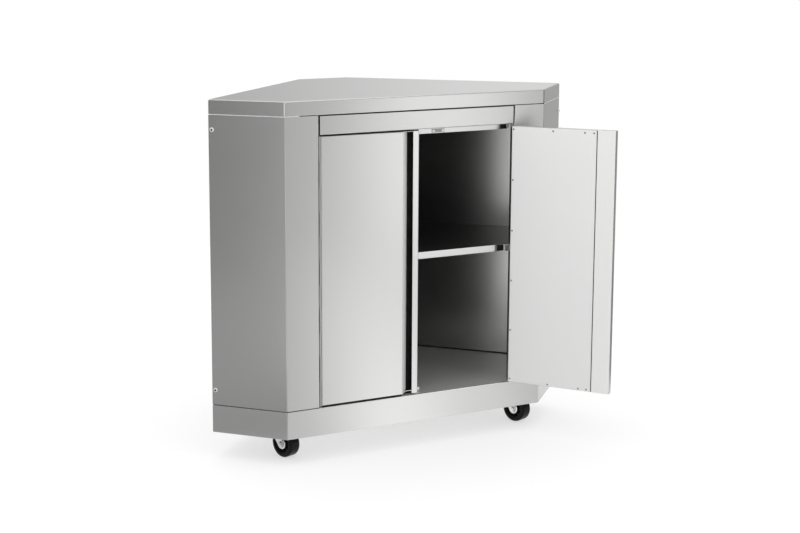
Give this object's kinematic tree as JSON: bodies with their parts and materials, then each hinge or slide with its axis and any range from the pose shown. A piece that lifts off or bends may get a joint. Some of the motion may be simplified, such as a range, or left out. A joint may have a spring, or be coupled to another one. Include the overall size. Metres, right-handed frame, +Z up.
{
  "type": "outdoor kitchen cabinet",
  "caption": "Outer-corner outdoor kitchen cabinet in folded stainless sheet: hinged doors with finger grooves, an inner shelf, a flat worktop and swivel casters.",
  "frame": {"origin": "centre of the bounding box at rest, with the right door open as in the picture, on the floor", "axes": "+X to the right along the door front, +Y back into the cabinet, +Z up, square to the worktop"},
  "size_m": [1.0232, 0.8076, 0.914],
  "materials": {
    "brushed_stainless": "fine brushed grain, satin",
    "bright_stainless": "bright cold-rolled",
    "zinc_plated_steel": "bright zinc plate",
    "black_rubber": "matt moulded rubber",
    "black_nylon": "moulded, slightly shiny",
    "pale_plastic": "moulded"
  },
  "bodies": {
    "cabinet": {"worktop": "brushed_stainless", "top_frame": "brushed_stainless", "base_pan": "brushed_stainless", "left_side_panel": "brushed_stainless", "right_side_panel": "brushed_stainless", "left_back_panel": "brushed_stainless", "right_back_panel": "brushed_stainless", "rear_corner_panel": "brushed_stainless", "left_side_bolt_lower": "bright_stainless", "left_side_bolt_upper": "bright_stainless", "right_side_bolt_lower": "bright_stainless", "right_side_bolt_upper": "bright_stainless", "header_rail": "brushed_stainless", "door_stop_strip": "brushed_stainless", "left_magnet_catch": "pale_plastic", "right_magnet_catch": "pale_plastic", "floor_stop": "brushed_stainless", "shelf": "bright_stainless", "left_shelf_clip": "brushed_stainless", "right_shelf_clip": "brushed_stainless", "left_shelf_bracket": "brushed_stainless", "right_shelf_bracket": "brushed_stainless", "left_hinge_frame_leaf": "bright_stainless", "left_hinge_pin": "bright_stainless", "right_hinge_frame_leaf": "bright_stainless", "right_hinge_pin": "bright_stainless", "front_caster_channel": "brushed_stainless", "rear_caster_channel": "brushed_stainless", "front_left_caster_plate": "zinc_plated_steel", "front_right_caster_plate": "zinc_plated_steel", "rear_left_caster_plate": "zinc_plated_steel", "rear_right_caster_plate": "zinc_plated_steel"},
    "left_door": {"left_door_skin": "brushed_stainless", "left_door_liner": "brushed_stainless", "left_handle_profile": "brushed_stainless", "left_hinge_door_leaf": "bright_stainless"},
    "right_door": {"right_door_skin": "brushed_stainless", "right_door_liner": "brushed_stainless", "right_handle_profile": "brushed_stainless", "right_hinge_door_leaf": "bright_stainless"},
    "front_left_swivel": {"front_left_caster_fork": "zinc_plated_steel", "front_left_caster_axle": "zinc_plated_steel"},
    "front_left_wheel": {"front_left_caster_hub": "black_nylon", "front_left_caster_tyre": "black_rubber"},
    "front_right_swivel": {"front_right_caster_fork": "zinc_plated_steel", "front_right_caster_axle": "zinc_plated_steel"},
    "front_right_wheel": {"front_right_caster_hub": "black_nylon", "front_right_caster_tyre": "black_rubber"},
    "rear_left_swivel": {"rear_left_caster_fork": "zinc_plated_steel", "rear_left_caster_axle": "zinc_plated_steel"},
    "rear_left_wheel": {"rear_left_caster_hub": "black_nylon", "rear_left_caster_tyre": "black_rubber"},
    "rear_right_swivel": {"rear_right_caster_fork": "zinc_plated_steel", "rear_right_caster_axle": "zinc_plated_steel"},
    "rear_right_wheel": {"rear_right_caster_hub": "black_nylon", "rear_right_caster_tyre": "black_rubber"}
  },
  "joints": [
    {"name": "left_door_hinge", "type": "hinge", "parent": "cabinet", "child": "left_door", "pos_m": [-0.27655, -0.17688, 0], "axis": [0, 0, -1], "range_deg": [0, 170]},
    {"name": "right_door_hinge", "type": "hinge", "parent": "cabinet", "child": "right_door", "pos_m": [0.27655, -0.17688, 0], "axis": [0, 0, 1], "range_deg": [-128.7, 41.3]},
    {"name": "front_left_caster_swivel", "type": "hinge", "parent": "cabinet", "child": "front_left_swivel", "pos_m": [-0.3447, -0.08678, 0], "axis": [0, 0, 1], "continuous": true},
    {"name": "front_left_wheel_spin", "type": "hinge", "parent": "front_left_swivel", "child": "front_left_wheel", "pos_m": [-0.33976, -0.10199, 0.036], "axis": [0.9511, 0.309, 0], "continuous": true},
    {"name": "front_right_caster_swivel", "type": "hinge", "parent": "cabinet", "child": "front_right_swivel", "pos_m": [0.3447, -0.08678, 0], "axis": [0, 0, 1], "continuous": true},
    {"name": "front_right_wheel_spin", "type": "hinge", "parent": "front_right_swivel", "child": "front_right_wheel", "pos_m": [0.34964, -0.10199, 0.036], "axis": [0.9511, 0.309, 0], "continuous": true},
    {"name": "rear_left_caster_swivel", "type": "hinge", "parent": "cabinet", "child": "rear_left_swivel", "pos_m": [-0.1497, 0.22312, 0], "axis": [0, 0, 1], "continuous": true},
    {"name": "rear_left_wheel_spin", "type": "hinge", "parent": "rear_left_swivel", "child": "rear_left_wheel", "pos_m": [-0.14476, 0.20791, 0.036], "axis": [0.9511, 0.309, 0], "continuous": true},
    {"name": "rear_right_caster_swivel", "type": "hinge", "parent": "cabinet", "child": "rear_right_swivel", "pos_m": [0.1497, 0.22312, 0], "axis": [0, 0, 1], "continuous": true},
    {"name": "rear_right_wheel_spin", "type": "hinge", "parent": "rear_right_swivel", "child": "rear_right_wheel", "pos_m": [0.15464, 0.20791, 0.036], "axis": [0.9511, 0.309, 0], "continuous": true}
  ]
}
